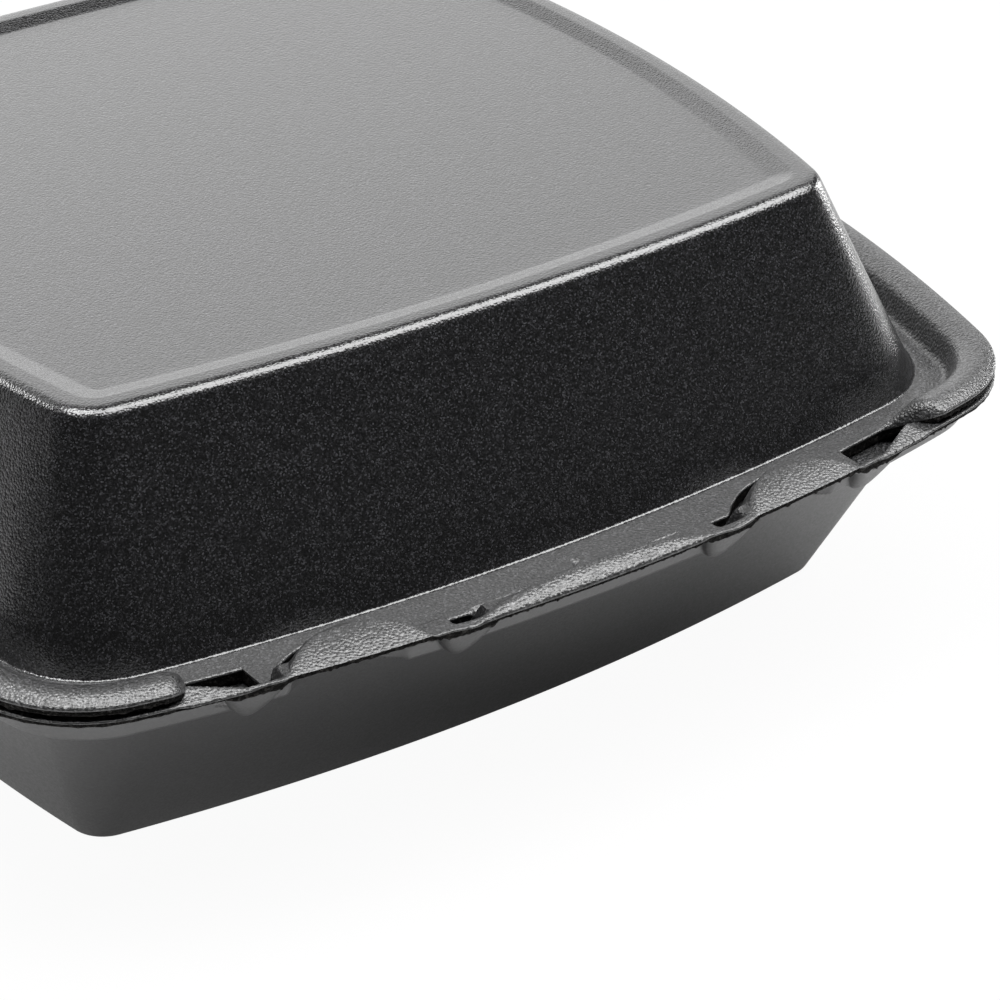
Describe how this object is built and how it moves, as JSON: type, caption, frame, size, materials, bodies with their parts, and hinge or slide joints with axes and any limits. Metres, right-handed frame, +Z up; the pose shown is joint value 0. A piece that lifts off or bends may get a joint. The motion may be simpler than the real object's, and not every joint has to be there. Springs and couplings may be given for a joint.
{
  "type": "foam hinged lid container",
  "caption": "Shallow square food container of thermoformed foam with bowed sides, a tapered tray and a domed lid that folds open along the back rim.",
  "frame": {"origin": "centre of the bounding box, on the surface that the tray stands on", "axes": "+X along the front edge to the right, +Y from the front with the locking humps to the fold at the back, +Z up"},
  "size_m": [0.2096, 0.2032, 0.075],
  "materials": {
    "foam": "black closed-cell polystyrene foam, satin skin with a fine pebble, rough cut edges"
  },
  "bodies": {
    "base": {"tray": "foam", "hinge_web": "foam"},
    "cover": {"lid": "foam"}
  },
  "joints": [
    {"name": "lid_fold", "type": "hinge", "parent": "base", "child": "cover", "pos_m": [0, 0.1013, 0.0428], "axis": [-1, 0, 0], "range_deg": [0, 180], "deforming": ["hinge_web"]}
  ]
}
